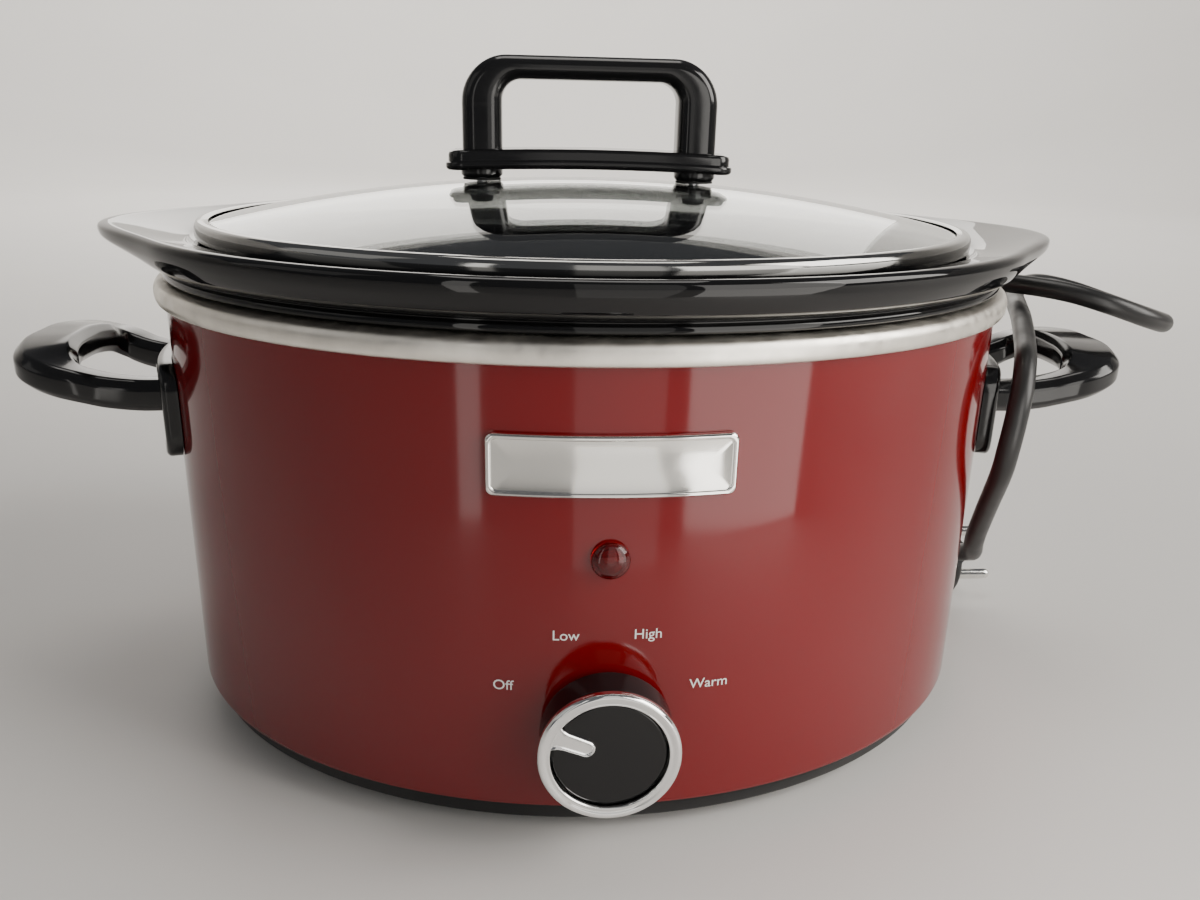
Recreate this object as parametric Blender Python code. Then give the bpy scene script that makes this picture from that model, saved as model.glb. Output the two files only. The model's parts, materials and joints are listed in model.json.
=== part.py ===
"""Oval slow cooker: heated metal base, lift-out stoneware pot and glass lid.

Metres, +Z up, front towards -Y. The oval's centre lies at (0, OVAL_Y) so that the object's
own box, without its supply cord, is centred on the origin and its feet stand on z = 0.
"""
import math

import bmesh
import bpy
from mathutils import Matrix, Vector

# Driving dimensions ------------------------------------------------------------------------
HALF_WIDTH = 0.140          # oval shell, outer wall
HALF_DEPTH = 0.115
POT_REACH = 0.0078          # pot's rim beyond the shell
KNOB_REACH = 0.0150         # knob's face in front of the shell
OVAL_Y = (KNOB_REACH - POT_REACH) / 2
OVAL_STEPS = 48             # facets round an oval
GAP = 0.0003                # between touching pieces

FOOT_TOP = 0.0042
TRAY_BOTTOM = 0.0045
SHELL_BOTTOM = 0.0125
SHELL_TOP = 0.1455
SHELL_WALL = 0.0010
BAND_BOTTOM = 0.1425
BAND_TOP = 0.1495
POT_CREST = 0.1650
LID_SEAT = 0.1605
LID_EDGE = 0.1650
LID_APEX = 0.1797
LID_INSET = -0.0120         # edge of the glass, inward from the shell's wall
GLASS = 0.0034
HANDLE_TOP = 0.2187

KNOB_Z = 0.0393
KNOB_RADIUS = 0.0195
LAMP_Z = 0.0905
BADGE_Z = 0.1165
BADGE_HALF = (0.0323, 0.0085)

ARM_Y = 0.0252              # side handle arms, either side of the middle
ARM_Z = 0.1104
PLATE_Z = 0.1078            # middle of the plate behind the arms
PLATE_HALF = (0.0420, 0.0154)
POST_X = 0.0363             # lid handle's fixings, either side of the middle

GLAND_Z = 0.0300
CORD_RADIUS = 0.0036
PLUG_CENTRE = Vector((0.1555, 0.0410, 0.0190))
PLUG_RADIUS = 0.0187
PLUG_TILT = math.radians(25)   # the cord's collar points forward and up by this angle

STEEL = (0.55, 0.55, 0.56)
BLACK = (0.012, 0.012, 0.013)


# Helpers -----------------------------------------------------------------------------------
def clear_scene():
    for thing in list(bpy.data.objects):
        bpy.data.objects.remove(thing, do_unlink=True)


def material(name, colour, roughness, metallic=0.0):
    made = bpy.data.materials.new(name)
    made.use_nodes = True
    shader = made.node_tree.nodes["Principled BSDF"]
    shader.inputs["Base Color"].default_value = (*colour, 1.0)
    shader.inputs["Roughness"].default_value = roughness
    shader.inputs["Metallic"].default_value = metallic
    return made


def empty(name, location, parent=None):
    holder = bpy.data.objects.new(name, None)
    holder.location = location
    holder.parent = parent
    bpy.context.scene.collection.objects.link(holder)
    return holder


def finish(name, shape, looks, parent, smooth=35):
    """Turn a bmesh into a named object whose faces point outward."""
    bmesh.ops.recalc_face_normals(shape, faces=shape.faces)
    mesh = bpy.data.meshes.new(name)
    shape.to_mesh(mesh)
    shape.free()
    mesh.shade_smooth()
    mesh.set_sharp_from_angle(angle=math.radians(smooth))
    mesh.materials.append(looks)
    made = bpy.data.objects.new(name, mesh)
    made.parent = parent
    bpy.context.scene.collection.objects.link(made)
    return made


def loft(rings, closed=False):
    """Skin equal rings of points. An open loft gets flat caps, a closed one joins its ends."""
    shape = bmesh.new()
    rows = [[shape.verts.new(point) for point in ring] for ring in rings]
    pairs = list(zip(rows, rows[1:]))
    if closed:
        pairs.append((rows[-1], rows[0]))
    else:
        shape.faces.new(rows[0])
        shape.faces.new(rows[-1])
    for low, high in pairs:
        for i in range(len(low)):
            j = (i + 1) % len(low)
            shape.faces.new((low[i], low[j], high[j], high[i]))
    return shape


def oval_ring(offset, z, steps=OVAL_STEPS):
    """The shell's oval, grown or shrunk by an offset."""
    turns = (2 * math.pi * i / steps for i in range(steps))
    return [Vector(((HALF_WIDTH + offset) * math.cos(t), (HALF_DEPTH + offset) * math.sin(t), z))
            for t in turns]


def oval_body(profile, closed=False):
    return loft([oval_ring(offset, z) for offset, z in profile], closed)


def turned(profile, origin, axis, steps=24, closed=False):
    """Turn (radius, distance along the axis) pairs round an axis."""
    frame = Vector(axis).to_track_quat("Z", "Y").to_matrix()
    rings = []
    for radius, along in profile:
        rings.append([Vector(origin) + frame @ Vector((radius * math.cos(2 * math.pi * i / steps),
                                                       radius * math.sin(2 * math.pi * i / steps),
                                                       along)) for i in range(steps)])
    return loft(rings, closed)


def rod(origin, axis, radius, length, steps=16):
    return turned([(radius, 0.0), (radius, length)], origin, axis, steps)


def box(centre, size):
    shape = bmesh.new()
    bmesh.ops.create_cube(shape, size=1.0)
    bmesh.ops.scale(shape, vec=size, verts=shape.verts)
    bmesh.ops.translate(shape, vec=centre, verts=shape.verts)
    return shape


def bevelled(target, width, segments=2, angle=40):
    bevel = target.modifiers.new("edges", "BEVEL")
    bevel.width = width
    bevel.segments = segments
    bevel.limit_method = "ANGLE"
    bevel.angle_limit = math.radians(angle)
    return target


def cutter(name, shapes, parent):
    """One hidden tool made of separate solids, for a Boolean modifier."""
    joined = bmesh.new()
    for shape in shapes:
        piece = bpy.data.meshes.new("tool")
        bmesh.ops.recalc_face_normals(shape, faces=shape.faces)
        shape.to_mesh(piece)
        shape.free()
        joined.from_mesh(piece)
        bpy.data.meshes.remove(piece)
    mesh = bpy.data.meshes.new(name)
    joined.to_mesh(mesh)
    joined.free()
    tool = bpy.data.objects.new(name, mesh)
    tool.parent = parent
    tool.hide_render = True
    tool.display_type = "WIRE"
    bpy.context.scene.collection.objects.link(tool)
    return tool


def boolean(target, tool, operation):
    step = target.modifiers.new(tool.name, "BOOLEAN")
    step.operation = operation
    step.object = tool
    step.solver = "EXACT"


def wall_strip(middle, half_angle, z_mid, half_height, corner, offsets, columns=14):
    """A plate that hugs the oval wall, centred on an angle, with rounded corners."""
    inner, outer = offsets
    rings = []
    arc = half_angle * (HALF_WIDTH if abs(math.cos(middle)) < 0.5 else HALF_DEPTH)
    spots = [-1 + corner / arc * (1 - math.cos(k * math.pi / 8)) for k in range(5)]
    spots += [spots[-1] + (-2 * spots[-1]) * k / columns for k in range(1, columns)]
    spots += [-s for s in reversed(spots[:5])]
    for spot in spots:
        angle = middle + spot * half_angle
        from_end = (1 - abs(spot)) * arc
        drop = 0.0
        if from_end < corner:
            drop = corner - math.sqrt(max(corner ** 2 - (corner - from_end) ** 2, 0.0))
        height = half_height - min(drop, corner * 0.93)
        edge = min(0.0008, (outer - inner) / 3)
        section = [(inner, -height), (outer - edge, -height), (outer, -height + edge),
                   (outer, height - edge), (outer - edge, height), (inner, height)]
        rings.append([Vector(((HALF_WIDTH + d) * math.cos(angle),
                              (HALF_DEPTH + d) * math.sin(angle), z_mid + h)) for d, h in section])
    return loft(rings)


def smooth_path(points, steps):
    """Catmull-Rom curve through tuples of any length, with equal steps in each span."""
    ends = [[2 * a - b for a, b in zip(points[0], points[1])],
            [2 * a - b for a, b in zip(points[-1], points[-2])]]
    knots = [ends[0], *points, ends[1]]
    path = []
    for a, b, c, d in zip(knots, knots[1:], knots[2:], knots[3:]):
        for k in range(steps):
            t = k / steps
            path.append(tuple(0.5 * (2 * q + (r - p) * t + (2 * p - 5 * q + 4 * r - s) * t ** 2
                                     + (3 * q - p - 3 * r + s) * t ** 3)
                              for p, q, r, s in zip(a, b, c, d)))
    path.append(tuple(points[-1]))
    return path


def even_path(points, count):
    """Points at equal distances along the smooth curve through a hand-laid route."""
    fine = [Vector(p) for p in smooth_path(points, 40)]
    travelled = [0.0]
    for a, b in zip(fine, fine[1:]):
        travelled.append(travelled[-1] + (b - a).length)
    path = []
    k = 0
    for i in range(count):
        goal = travelled[-1] * i / (count - 1)
        while k < len(fine) - 2 and travelled[k + 1] < goal:
            k += 1
        share = (goal - travelled[k]) / (travelled[k + 1] - travelled[k])
        path.append(fine[k].lerp(fine[k + 1], share))
    return path


def tube(name, points, radius, looks, parent, sides=2):
    curve = bpy.data.curves.new(name, "CURVE")
    curve.dimensions = "3D"
    curve.bevel_depth = radius
    curve.bevel_resolution = sides
    curve.use_fill_caps = True
    line = curve.splines.new("POLY")
    line.points.add(len(points) - 1)
    for spot, place in zip(line.points, points):
        spot.co = (*place, 1.0)
    curve.materials.append(looks)
    made = bpy.data.objects.new(name, curve)
    made.parent = parent
    bpy.context.scene.collection.objects.link(made)
    return made


# Heated base -------------------------------------------------------------------------------
def outer_shell(base, looks):
    """Painted steel wall with a turned-in hem, and holes for switch, lamp, handles and cord."""
    wall = -SHELL_WALL
    profile = [(0.0, SHELL_BOTTOM + 0.0006), (0.0, SHELL_TOP), (wall, SHELL_TOP),
               (wall, SHELL_BOTTOM + 0.0012), (-0.0060, SHELL_BOTTOM + 0.0012),
               (-0.0060, SHELL_BOTTOM), (-0.0006, SHELL_BOTTOM)]
    shell = finish("outer_shell", oval_body(profile, closed=True), looks, base)
    front = -HALF_DEPTH
    holes = [rod((0, front - 0.010, KNOB_Z), (0, 1, 0), 0.0053, 0.020, 20),
             rod((0, front - 0.010, LAMP_Z), (0, 1, 0), 0.0044, 0.020, 20),
             rod((0, HALF_DEPTH + 0.010, GLAND_Z), (0, -1, 0), 0.0068, 0.020, 20)]
    for y in (-ARM_Y, ARM_Y):
        holes.append(rod((-HALF_WIDTH - 0.010, y, ARM_Z), (1, 0, 0), 0.0024, 0.300, 12))
    boolean(shell, cutter("shell_holes", holes, base), "DIFFERENCE")


def heating_well(base, looks):
    """Aluminium liner that takes the pot; its rolled rim is the bright band round the top."""
    profile = [(-0.0300, 0.0250), (-0.0262, 0.0275), (-0.0252, 0.0330),
               (-0.0105, 0.1440), (-0.0085, 0.1480), (-0.0050, BAND_TOP), (0.0004, BAND_TOP),
               (0.0024, BAND_TOP - 0.0009), (0.0032, BAND_TOP - 0.0027),
               (0.0032, BAND_BOTTOM + 0.0016), (0.0024, BAND_BOTTOM), (0.0004, BAND_BOTTOM),
               (0.0004, SHELL_TOP + 0.0006), (-0.0075, SHELL_TOP + 0.0006), (-0.0095, 0.1430),
               (-0.0242, 0.0330), (-0.0252, 0.0270), (-0.0292, 0.0240)]
    return finish("heating_well", oval_body(profile), looks, base)


def base_tray(base, looks):
    """Black moulded floor that closes the base, with vents and a hole for its screw."""
    profile = [(-0.0095, 0.0075), (-0.0088, 0.0200), (-0.0064, 0.0200),
               (-0.0064, SHELL_BOTTOM - GAP), (-0.0026, SHELL_BOTTOM - GAP), (-0.0022, 0.0108),
               (-0.0036, 0.0058), (-0.0060, TRAY_BOTTOM)]
    tray = finish("base_tray", oval_body(profile), looks, base)
    holes = [rod((0, 0, 0), (0, 0, 1), 0.0026, 0.010, 12)]
    for side in (-1, 1):
        for row in range(4):
            y = -0.024 + 0.016 * row
            holes.append(box((side * 0.062, y, 0.006), (0.030, 0.004, 0.010)))
    boolean(tray, cutter("tray_holes", holes, base), "DIFFERENCE")


def feet(base, looks):
    profile = [(0.0062, 0.0), (0.0074, 0.0008), (0.0080, FOOT_TOP)]
    for name, x, y in (("foot_front_left", -1, -1), ("foot_front_right", 1, -1),
                       ("foot_rear_left", -1, 1), ("foot_rear_right", 1, 1)):
        spot = (x * 0.0920, y * 0.0600, 0.0)
        finish(name, turned(profile, spot, (0, 0, 1), 20), looks, base)


def heater(base, band, spring, blanket):
    """Resistance band drawn round the well by a spring, under a fibre blanket."""
    def slope(z):
        return -0.0242 + 0.0147 * (z - 0.033) / 0.110

    def jacket(low, high, inset, thick):
        return [(slope(low) + inset, low), (slope(low) + inset + thick, low),
                (slope(high) + inset + thick, high), (slope(high) + inset, high)]

    gap_angle = math.radians(4)
    steps = OVAL_STEPS
    rings = []
    start = math.pi / 2 + gap_angle
    sweep = 2 * math.pi - 2 * gap_angle
    for i in range(steps + 1):
        t = start + sweep * i / steps
        rings.append([Vector(((HALF_WIDTH + d) * math.cos(t), (HALF_DEPTH + d) * math.sin(t), z))
                      for d, z in jacket(0.0380, 0.0730, 0.0006, 0.0014)])
    finish("heater_band", loft(rings), band, base)
    finish("insulation_wrap", oval_body(jacket(0.0350, 0.0760, 0.0034, 0.0022), closed=True),
           blanket, base)
    coil = [(-0.0040 + 0.0080 * i / 30, HALF_DEPTH + slope(0.056) + 0.0016 +
             0.0008 * math.cos(i * math.pi / 3), 0.056 + 0.0008 * math.sin(i * math.pi / 3))
            for i in range(31)]
    tube("heater_spring", coil, 0.00022, spring, base, 0)


def fixings(base, looks):
    """Centre spacer under the well and the screw that pulls the tray up to it."""
    spacer = turned([(0.0045, 0.0080), (0.0045, 0.0237)], (0, 0, 0), (0, 0, 1), 6)
    stud = finish("well_stud", spacer, looks, base)
    bore = cutter("stud_bore", [rod((0, 0, 0.004), (0, 0, 1), 0.0019, 0.014, 12)], base)
    boolean(stud, bore, "DIFFERENCE")
    profile = [(0.0040, 0.0022), (0.0040, TRAY_BOTTOM - GAP), (0.0016, TRAY_BOTTOM - GAP),
               (0.0016, 0.0165)]
    finish("base_screw", turned(profile, (0, 0, 0), (0, 0, 1), 12), looks, base)


def electrics(base, looks):
    """Terminal block, thermal fuse with its clip, and the wires under the well."""
    plastic, brass, ceramic, steel, sleeves = looks
    block = box((0.0180, 0.0740, 0.0133), (0.0300, 0.0140, 0.0110))
    bevelled(finish("terminal_block", block, plastic, base), 0.0010, 1)
    ends = [(0.0010, -0.0095), (0.0021, -0.0085), (0.0021, 0.0085), (0.0010, 0.0095)]
    finish("thermal_fuse", turned(ends, (-0.0400, 0.0200, 0.0212), (1, 0, 0), 12), ceramic, base)
    half_clip = [(0.0025, 0.0188), (0.0025, 0.0237), (0.0070, 0.0237), (0.0070, 0.0232),
                 (0.0030, 0.0232), (0.0030, 0.0183)]
    clip = half_clip + [(-y, z) for y, z in reversed(half_clip)]
    strap = [[Vector((x, 0.0200 + y, z)) for y, z in clip] for x in (-0.0420, -0.0380)]
    finish("fuse_clip", loft(strap), steel, base, 20)
    rear = 0.0667
    contact = -0.0992
    routes = {
        "wire_live": [(0.0250, rear, 0.0140), (0.0300, 0.0300, 0.0120), (0.0090, -0.0500, 0.0120),
                      (0.0010, -0.0870, 0.0170), (0.0005, -0.0945, 0.0285),
                      (0.0005, contact, 0.0300)],
        "wire_neutral": [(0.0180, rear, 0.0140), (0.0100, 0.0400, 0.0130),
                         (-0.0150, 0.0210, 0.0190), (-0.0302, 0.0200, 0.0212)],
        "wire_high": [(-0.0050, contact, 0.0300), (-0.0055, -0.0945, 0.0285),
                      (-0.0120, -0.0870, 0.0170), (-0.0500, -0.0650, 0.0130),
                      (-0.0950, -0.0280, 0.0130), (-0.1150, -0.0100, 0.0180),
                      (-0.1182, -0.0030, 0.0280), (-0.1178, -0.0020, 0.0372)],
        "wire_low": [(0.0065, contact, 0.0270), (0.0075, -0.0945, 0.0255),
                     (0.0240, -0.0820, 0.0150), (0.0600, -0.0580, 0.0130),
                     (0.0950, -0.0250, 0.0130), (0.1150, -0.0100, 0.0180),
                     (0.1182, -0.0030, 0.0280), (0.1178, -0.0020, 0.0372)],
    }
    for name, route in routes.items():
        tube(name, even_path(route, 13), 0.0011, sleeves[name], base, 1)
    tag = box((0.0750, 0.0500, 0.0092), (0.0120, 0.0070, 0.0010))
    finish("earth_tag", tag, brass, base)


def switch(base, plastic, steel):
    """Four-position rotary switch behind the front wall, held by a nut under the knob."""
    front = (0, -HALF_DEPTH, KNOB_Z)
    body = [(0.0033, -0.0042), (0.0047, -0.0042), (0.0047, 0.0022), (0.0128, 0.0022),
            (0.0132, 0.0026), (0.0132, 0.0140), (0.0120, 0.0150), (0.0033, 0.0150)]
    finish("rotary_switch", turned(body, front, (0, 1, 0), 20, closed=True), plastic, base)
    rings = []
    for hexagonal, along in ((False, -0.0028), (True, -0.0028), (True, -0.0005), (False, -0.0005)):
        ring = []
        for i in range(24):
            turn = 2 * math.pi * i / 24
            flat = math.remainder(turn, math.pi / 3)
            radius = 0.0065 / math.cos(flat) if hexagonal else 0.0050
            ring.append(Vector((radius * math.sin(turn), -HALF_DEPTH + along,
                                KNOB_Z + radius * math.cos(turn))))
        rings.append(ring)
    finish("switch_nut", loft(rings, closed=True), steel, base)


def indicator(base, lens, lamp, steel):
    """Red domed lens in the front wall, its neon lamp and the push-on clip behind it."""
    front = (0, -HALF_DEPTH, LAMP_Z)
    dome = [(0.0053 * math.sin(k * math.pi / 12), -0.0010 - 0.0026 * math.cos(k * math.pi / 12))
            for k in (1.5, 3, 4.5, 6)]
    profile = dome + [(0.0053, -0.0003), (0.0040, -0.0003), (0.0040, 0.0080), (0.0030, 0.0080),
                      (0.0030, 0.0000), (0.0010, -0.0012)]
    finish("indicator_lens", turned(profile, front, (0, 1, 0), 18), lens, base)
    bulb = [(0.0008, 0.0004), (0.0020, 0.0014), (0.0024, 0.0030), (0.0024, 0.0110),
            (0.0014, 0.0120)]
    finish("indicator_lamp", turned(bulb, front, (0, 1, 0), 16), lamp, base)
    clip = [(0.0043, 0.0016), (0.0072, 0.0016), (0.0072, 0.0021), (0.0043, 0.0021)]
    finish("lens_clip", turned(clip, front, (0, 1, 0), 20, closed=True), steel, base)


def badge(base, looks):
    half_angle = math.asin(BADGE_HALF[0] / HALF_WIDTH)
    shape = wall_strip(-math.pi / 2, half_angle, BADGE_Z, BADGE_HALF[1], 0.0022, (GAP, 0.0019), 8)
    finish("badge", shape, looks, base)


def side_handle(name, side, base, looks):
    """Carrying handle: a plate that hugs the wall and a loop whose broad grip stands higher."""
    facing = 0.0 if side > 0 else math.pi
    plate = wall_strip(facing, math.asin(PLATE_HALF[0] / HALF_DEPTH), PLATE_Z, PLATE_HALF[1],
                       0.0080, (GAP, 0.0050), 10)
    handle = finish(name, plate, looks, base, 30)
    arm = [(0.1330, ARM_Y, 0.0110, ARM_Z), (0.1490, ARM_Y, 0.0110, ARM_Z),
           (0.1600, 0.0265, 0.0122, 0.1122), (0.1700, 0.0275, 0.0150, 0.1158),
           (0.1775, 0.0225, 0.0185, 0.1190), (0.1810, 0.0115, 0.0195, 0.1207)]
    plan = [(x, -y, width, z) for x, y, width, z in arm] + [(0.1815, 0.0, 0.0190, 0.1210)]
    path = smooth_path(plan + arm[::-1], 2)
    tall, chamfer = 0.0053, 0.0026
    rings = []
    for i, (x, y, width, z) in enumerate(path):
        before, after = path[max(i - 1, 0)], path[min(i + 1, len(path) - 1)]
        run = Vector((after[0] - before[0], after[1] - before[1])).normalized()
        across = Vector((run.y, -run.x))
        half = width / 2
        section = [(half, -tall + chamfer), (half, tall - chamfer), (half - chamfer, tall),
                   (-half + chamfer, tall), (-half, tall - chamfer), (-half, -tall + chamfer),
                   (-half + chamfer, -tall), (half - chamfer, -tall)]
        rings.append([Vector((side * (x + across.x * s), y + across.y * s, z + h))
                      for s, h in section])
    boolean(handle, cutter(name + "_hoop", [loft(rings)], base), "UNION")
    wall_space = cutter(name + "_wall_space", [oval_body([(GAP, 0.0800), (GAP, 0.1400)])], base)
    boolean(handle, wall_space, "DIFFERENCE")
    bores = [rod((side * 0.1290, y, ARM_Z), (side, 0, 0), 0.0020, 0.0260, 12)
             for y in (-ARM_Y, ARM_Y)]
    boolean(handle, cutter(name + "_bores", bores, base), "DIFFERENCE")


def handle_screws(base, looks):
    for name, side, y in (("handle_screw_left_front", -1, -ARM_Y),
                          ("handle_screw_left_rear", -1, ARM_Y),
                          ("handle_screw_right_front", 1, -ARM_Y),
                          ("handle_screw_right_rear", 1, ARM_Y)):
        profile = [(0.0034, 0.0), (0.0034, 0.0020), (0.0017, 0.0020), (0.0017, 0.0200),
                   (0.0008, 0.0212)]
        start = (side * 0.1316, y, ARM_Z)
        finish(name, turned(profile, start, (side, 0, 0), 12), looks, base)


# Knob --------------------------------------------------------------------------------------
def knob(turning, body, chrome, gloss, steel):
    """Everything that turns about the switch's axis; distances run forward from the wall."""
    forward = (0, -1, 0)
    origin = (0, 0, 0)
    profile = [(0.0170, 0.0118), (0.0184, 0.0112), (0.0186, 0.0016), (0.0172, 0.0016),
               (0.0166, 0.0090), (0.0066, 0.0090), (0.0062, 0.0050), (0.0034, 0.0050),
               (0.0034, 0.0100)]
    finish("knob", turned(profile, origin, forward, 32), body, turning)
    face = KNOB_REACH
    ring = [(KNOB_RADIUS - 0.0012, 0.0121), (KNOB_RADIUS, 0.0128), (KNOB_RADIUS, face - 0.0014),
            (KNOB_RADIUS - 0.0011, face), (KNOB_RADIUS - 0.0026, face - 0.0002),
            (KNOB_RADIUS - 0.0036, face - 0.0012), (KNOB_RADIUS - 0.0036, 0.0121)]
    trim = finish("knob_trim_ring", turned(ring, origin, forward, 32, closed=True), chrome, turning)
    outline = [(0.0185, 0.0026), (0.0185, -0.0026)]
    outline += [(0.0068 - 0.0024 * math.cos(k * math.pi / 8 - math.pi / 2),
                 0.0024 * math.sin(k * math.pi / 8 - math.pi / 2)) for k in range(9)]
    pointer = [[Vector((x, -y, z)) for x, z in outline] for y in (0.0137, face - 0.0006)]
    tab = loft(pointer)
    off_turn = Matrix.Rotation(-math.radians(90 + 67.5), 3, "Y")
    bmesh.ops.rotate(tab, cent=(0, 0, 0), matrix=off_turn, verts=tab.verts)
    boolean(trim, cutter("knob_pointer", [tab], turning), "UNION")
    disc = [(0.0150, 0.0121), (KNOB_RADIUS - 0.0040, 0.0121), (KNOB_RADIUS - 0.0040, 0.0134)]
    finish("knob_insert", turned(disc, origin, forward, 32), gloss, turning)
    finish("switch_shaft", turned([(0.0029, -0.0162), (0.0029, 0.0092), (0.0025, 0.0096)], origin,
                                  forward, 16), steel, turning)


# Stoneware pot -----------------------------------------------------------------------------
def stoneware_pot(pot, looks):
    """Glazed pot hanging by its flared rim, which runs out into a lug at each end."""
    profile = [(-0.0370, 0.0345, 0), (-0.0300, 0.0385, 0), (-0.0272, 0.0460, 0),
               (-0.0190, 0.1500, 0), (-0.0186, 0.1590, 0), (-0.0176, LID_SEAT, 0),
               (-0.0094, LID_SEAT, 0), (-0.0078, 0.1622, 0), (-0.0020, 0.1634, 0.15),
               (0.0030, 0.1644, 0.55), (0.0058, POT_CREST, 0.90), (0.0074, 0.1642, 1.0),
               (POT_REACH, 0.1626, 1.0), (0.0074, 0.1604, 0.97), (0.0062, 0.1582, 0.72),
               (0.0048, 0.1562, 0.30), (0.0034, 0.1549, 0.05), (0.0016, 0.1538, 0),
               (-0.0008, 0.1535, 0), (-0.0010, 0.1528, 0), (0.0002, 0.1523, 0),
               (0.0002, BAND_TOP + GAP, 0), (-0.0072, BAND_TOP + GAP, 0), (-0.0125, 0.1440, 0),
               (-0.0272, 0.0380, 0), (-0.0300, 0.0305, 0), (-0.0360, 0.0280, 0)]
    lug_reach = 0.0144
    lug_angle = math.radians(30)
    rings = []
    for offset, z, share in profile:
        ring = []
        for i in range(OVAL_STEPS):
            t = 2 * math.pi * i / OVAL_STEPS
            from_end = min(abs(math.remainder(t, 2 * math.pi)),
                           abs(math.remainder(t - math.pi, 2 * math.pi)))
            bump = math.cos(from_end / lug_angle * math.pi / 2) ** 2 if from_end < lug_angle else 0
            grown = offset + share * bump * lug_reach
            ring.append(Vector(((HALF_WIDTH + grown) * math.cos(t),
                                (HALF_DEPTH + offset) * math.sin(t), z)))
        rings.append(ring)
    finish("stoneware_pot", loft(rings), looks, pot)


# Lid ---------------------------------------------------------------------------------------
def glass_top(x, y=0.0):
    """Height of the dome's upper surface above a point of the plan."""
    share = math.hypot(x / (HALF_WIDTH + LID_INSET), y / (HALF_DEPTH + LID_INSET))
    return LID_EDGE + (LID_APEX - LID_EDGE) * (1 - share ** 2)


def lid_glass(lid, looks):
    """Domed toughened glass with two holes for the handle's screws."""
    across, deep = HALF_WIDTH + LID_INSET, HALF_DEPTH + LID_INSET
    shares = [0.15, 0.36, 0.57, 0.76, 0.90, 1.0]

    def ring(share, z):
        turns = (2 * math.pi * i / OVAL_STEPS for i in range(OVAL_STEPS))
        return [Vector((across * share * math.cos(t), deep * share * math.sin(t), z))
                for t in turns]

    rings = [ring(s, glass_top(across * s)) for s in shares]
    rings += [ring(s, glass_top(across * s) - GLASS) for s in reversed(shares)]
    dome = finish("lid_glass", loft(rings), looks, lid)
    holes = [rod((side * POST_X, 0, 0.160), (0, 0, 1), 0.0029, 0.030, 16) for side in (-1, 1)]
    boolean(dome, cutter("glass_holes", holes, lid), "DIFFERENCE")


def lid_rim(lid, looks):
    """Polished steel hoop folded round the edge of the glass."""
    edge = LID_INSET
    profile = [(edge - 0.0030, LID_EDGE + 0.0014), (edge - 0.0010, LID_EDGE + 0.0019),
               (edge + 0.0008, LID_EDGE + 0.0014), (edge + 0.0016, LID_EDGE),
               (edge + 0.0016, LID_EDGE - 0.0034), (edge + 0.0008, LID_SEAT + GAP),
               (edge - 0.0030, LID_SEAT + GAP), (edge - 0.0030, LID_EDGE - GLASS - 0.0005),
               (edge + 0.0004, LID_EDGE - GLASS - 0.0005), (edge + 0.0004, LID_EDGE + 0.0004),
               (edge - 0.0030, LID_EDGE + 0.0011)]
    finish("lid_rim", oval_body(profile, closed=True), looks, lid)


def lid_handle(lid, looks):
    """Black loop handle on an arched foot plate with two round posts."""
    plate_low, plate_top = 0.1832, 0.1897
    half_length, half_width, corner = 0.0480, 0.0115, 0.0060
    outline = []
    for quarter, (cx, cy) in enumerate(((1, 1), (-1, 1), (-1, -1), (1, -1))):
        for k in range(6):
            turn = math.pi / 2 * (quarter + k / 5)
            outline.append((cx * (half_length - corner) + corner * math.cos(turn),
                            cy * (half_width - corner) + corner * math.sin(turn)))
    layers = []
    for inset, z in ((0.0010, plate_low), (0.0, plate_low + 0.0010), (0.0, plate_top - 0.0016),
                     (0.0016, plate_top)):
        layers.append([Vector((x * (1 - inset / half_length), y * (1 - inset / half_width),
                               z - 0.0012 * (x / half_length) ** 2)) for x, y in outline])
    handle = finish("lid_handle", loft(layers), looks, lid, 30)

    outer_x, inner_x = 0.0425, 0.0293
    outer_z, inner_z = HANDLE_TOP, HANDLE_TOP - 0.0076
    outer_round, inner_round = 0.0150, 0.0065
    foot = 0.1860
    arch = [(outer_x, foot)]
    arch += [(outer_x - outer_round + outer_round * math.cos(a),
              outer_z - outer_round + outer_round * math.sin(a))
             for a in (k * math.pi / 16 for k in range(9))]
    arch += [(-x, z) for x, z in reversed(arch)]
    inner = [(-inner_x, foot)]
    inner += [(-inner_x + inner_round - inner_round * math.cos(a),
               inner_z - inner_round + inner_round * math.sin(a))
              for a in (k * math.pi / 12 for k in range(7))]
    arch += inner + [(-x, z) for x, z in reversed(inner)]
    slices = []
    for y, inset in ((-0.0076, 0.0022), (-0.0054, 0.0), (0.0054, 0.0), (0.0076, 0.0022)):
        row = []
        for i, (x, z) in enumerate(arch):
            before, after = arch[i - 1], arch[(i + 1) % len(arch)]
            run = Vector((after[0] - before[0], after[1] - before[1])).normalized()
            row.append(Vector((x - run.y * inset, y, max(z + run.x * inset, foot))))
        slices.append(row)
    boolean(handle, cutter("lid_handle_loop", [loft(slices)], lid), "UNION")
    posts = [rod((side * POST_X, 0, glass_top(POST_X) + 0.0014), (0, 0, 1), 0.0070,
                 0.0080, 20) for side in (-1, 1)]
    boolean(handle, cutter("lid_handle_posts", posts, lid), "UNION")
    bores = [rod((side * POST_X, 0, 0.170), (0, 0, 1), 0.0021, 0.022, 12) for side in (-1, 1)]
    boolean(handle, cutter("lid_handle_bores", bores, lid), "DIFFERENCE")


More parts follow.
